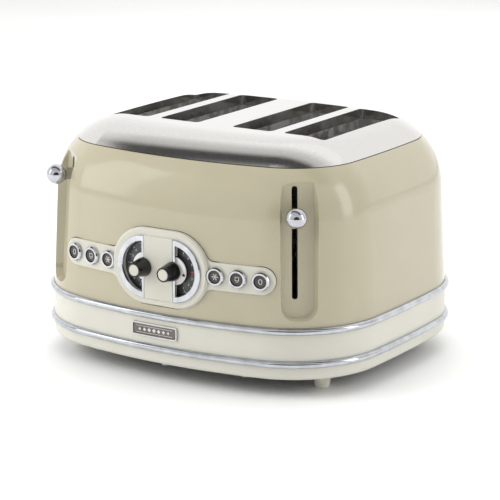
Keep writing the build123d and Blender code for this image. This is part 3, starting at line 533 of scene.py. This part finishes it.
body_shell = nodes["body_shell"].data
tree = BVHTree.FromPolygons(
    [v.co[:] for v in body_shell.vertices], [p.vertices[:] for p in body_shell.polygons]
)
# The dark tube along the fascia's outline is painted shadow for the seam's shade, not a real part.
shadow_line_curve = bpy.data.curves.new("fascia_shadow_line", "CURVE")
shadow_line_curve.dimensions = "3D"
shadow_line_curve.bevel_depth = SHADOW_LINE_RADIUS
shadow_line_curve.bevel_resolution = 2
line = shadow_line_curve.splines.new("POLY")
on_body = []
for point in outline:
    start = Vector((point.x, low.y - 0.01, middle_z + point.y))
    hit = tree.ray_cast(start, Vector((0, 1, 0)))[0]
    if hit:
        on_body.append(hit)
line.points.add(len(on_body) - 1)
for spline_point, place in zip(line.points, on_body):
    spline_point.co = (*place, 1)
line.use_cyclic_u = True
holder = bpy.data.objects.new("shadow_line_curve", shadow_line_curve)
bpy.context.scene.collection.objects.link(holder)
bpy.context.view_layer.update()
shadow_line = bmesh.new()
shadow_line.from_mesh(holder.to_mesh())
bpy.data.objects.remove(holder)
# Painted shadow: the dark rubber finish on this tube stands in for the shade in the fascia's seam.
finish_piece(shadow_line, "fascia_shadow_line", finishes["seal_rubber"], "casing")
print("gasket points on the body:", len(on_body), "of", len(outline))

# %% [markdown]
# ## The badge
# A small plate below the dials. Its field is filled with a plain raised ornament, a row
# of lozenges between two lines, cut from bars so that it catches the light.

# %% Badge ornament
badge_low, badge_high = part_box("badge_plate")
badge_face = place_on(
    Vector(((badge_low.x + badge_high.x) / 2, badge_low.y, (badge_low.z + badge_high.z) / 2)),
    Vector((0, -1, 0)),
)
RAISED = 0.5 * MM
badge_half = (badge_high.x - badge_low.x) / 2
badge_rise = (badge_high.z - badge_low.z) / 2
badge = bmesh.new()
for place in range(-3, 4):
    size = (3.0 - 0.25 * abs(place)) * MM
    bar(badge, badge_face, size, size, RAISED, pi / 4, (place * 5.0 * MM, 0))
for across in (-1, 1):
    bar(badge, badge_face, 1.7 * badge_half, 0.5 * MM, RAISED, 0, (0, across * 0.62 * badge_rise))
ornament = finish_piece(badge, "badge_ornament", finishes["badge_metal"], "casing")
rounding = ornament.modifiers.new("softened edges", "BEVEL")
rounding.width = 0.12 * MM
rounding.segments = 2
print("badge ornament added")

# %% [markdown]
# ## Stage, light and camera
# A pale floor lies under the toaster. Chrome only looks like chrome when it has something
# bright and something dark to reflect, so the surroundings are bright with two dark gaps,
# and two soft panels stand left and right. Four more lamps light the paint but aren't
# mirrored. The lens is long, as a product photographer's would be, and looks down a little.

# %% Stage
FLOOR_HALF = 6.0
stage_mesh = bmesh.new()
bmesh.ops.create_grid(stage_mesh, x_segments=1, y_segments=1, size=FLOOR_HALF)
stage_data = bpy.data.meshes.new("floor")
stage_mesh.to_mesh(stage_data)
stage_mesh.free()
floor_material, floor_tree, floor_shader = new_material("pale studio floor", Roughness=0.6)
floor_tint = tint(floor_tree, grain(floor_tree, 400), "#F4F4F3", "#F8F8F7")
floor_tree.links.new(floor_tint, floor_shader.inputs["Base Color"])
stage_data.materials.append(floor_material)
floor = bpy.data.objects.new("floor", stage_data)
bpy.context.scene.collection.objects.link(floor)
print("floor laid")

# %% Surroundings
# What the chrome mirrors: bright walls with a dark gap round the camera, and a ceiling
# with a dark strip across it. Each ramp is a list of places and greys.
VIEW_AZIMUTH = radians(32.4)
CEILING_START, CEILING_FULL = sin(radians(41)), sin(radians(48))
SKY_STRENGTH = 1.35
WALL_STOPS = (
    (-1, 0.88), (-0.8, 0.84), (-0.45, 0.86), (-0.2, 0.62), (0.82, 0.6), (0.88, 0.04), (1, 0.03)
)
CEILING_STOPS = (
    (-1, 0.46), (-0.24, 0.5), (-0.14, 0.06), (0.04, 0.06), (0.16, 0.5), (0.3, 0.6), (0.5, 0.92),
    (1, 0.92),
)
toward = Vector((sin(VIEW_AZIMUTH), -cos(VIEW_AZIMUTH), 0))
world = bpy.data.worlds.new("studio")
bpy.context.scene.world = world
world.use_nodes = True
sky = world.node_tree


def smooth(value, start, end, first, last, kind="SMOOTHSTEP"):
    """Goes from first to last as value goes from start to end."""
    node = add_node(sky, "ShaderNodeMapRange", {"Value": value}, interpolation_type=kind)
    ends = {"From Min": start, "From Max": end, "To Min": first, "To Max": last}
    for name, number in ends.items():
        node.inputs[name].default_value = number
    return node.outputs["Result"]


def ramp(value, stops):
    """A grey ramp over -1 to 1, as (value, brightness) stops in rising order."""
    scaled = smooth(value, -1, 1, 0, 1, "LINEAR")
    colours = add_node(sky, "ShaderNodeValToRGB", {"Fac": scaled}).color_ramp
    for place, _ in stops[1:-1]:
        colours.elements.new((place + 1) / 2)
    for stop, (_, grey) in zip(colours.elements, stops):
        stop.color = (grey, grey, grey, 1)
    return sky.nodes[-1].outputs["Color"]


direction = add_node(sky, "ShaderNodeTexCoord").outputs["Generated"]
ahead = add_node(sky, "ShaderNodeVectorMath", {0: direction}, operation="DOT_PRODUCT")
ahead.inputs[1].default_value = toward
near = ahead.outputs["Value"]
parts = add_node(sky, "ShaderNodeSeparateXYZ", {"Vector": direction}).outputs
height = parts["Z"]
walls = ramp(near, WALL_STOPS)
ceiling = ramp(parts["Y"], CEILING_STOPS)
both = add_node(sky, "ShaderNodeMix", data_type="RGBA")
sky.links.new(smooth(height, CEILING_START, CEILING_FULL, 0, 1), both.inputs["Factor"])
sky.links.new(walls, both.inputs[6])
sky.links.new(ceiling, both.inputs[7])
background = sky.nodes["Background"]
sky.links.new(both.outputs[2], background.inputs["Color"])
background.inputs["Strength"].default_value = SKY_STRENGTH
print("surroundings set")


# %% Lamps
def panel(name, at, size, power, aim=Vector((0, 0, 0.1))):
    """A soft rectangular lamp that looks at the toaster."""
    light = bpy.data.lights.new(name, "AREA")
    light.shape = "RECTANGLE"
    light.size, light.size_y = size
    light.energy = power
    holder = bpy.data.objects.new(name, light)
    holder.location = at
    holder.rotation_euler = (aim - Vector(at)).to_track_quat("-Z", "Y").to_euler()
    bpy.context.scene.collection.objects.link(holder)
    return holder


panel("key_left", (-1.6, -1.3, 0.9), (0.7, 1.5), 4.0)
panel("fill_right", (1.9, 0.3, 0.7), (0.5, 1.4), 4.0)


def fill(name, azimuth, elevation, distance, size, power):
    """A large lamp that lights the surfaces but isn't mirrored in the chrome."""
    turn, tilt = radians(azimuth), radians(elevation)
    at = Vector((sin(turn) * cos(tilt), -cos(turn) * cos(tilt), sin(tilt))) * distance
    panel(name, at, (size, size), power).visible_glossy = False


fill("front_fill", -44, 30, 2.0, 1.4, 17)
fill("side_fill", 106, 28, 2.0, 1.4, 8)
fill("back_fill", 200, 35, 2.2, 1.4, 8)
fill("top_fill", 0, 88, 2.0, 1.6, 14)
print("lamps placed")

# %% Camera
ELEVATION = radians(14.2)
DISTANCE = 2.09
SENSOR_MM, LENS_MM = 36, 163.9
aim = Vector((0, 0, 0.0883))
back = toward * cos(ELEVATION) + Vector((0, 0, sin(ELEVATION)))
camera_data = bpy.data.cameras.new("camera")
camera_data.sensor_width = SENSOR_MM
camera_data.lens = LENS_MM
camera = bpy.data.objects.new("camera", camera_data)
camera.location = aim + back * DISTANCE
camera.rotation_euler = (-back).to_track_quat("-Z", "Y").to_euler()
bpy.context.scene.collection.objects.link(camera)
bpy.context.scene.camera = camera
bpy.context.scene.view_settings.view_transform = "Standard"
print("camera at", [round(v, 3) for v in camera.location])

# %% [markdown]
# ## Finish

# %% Finish
print("scene finished")
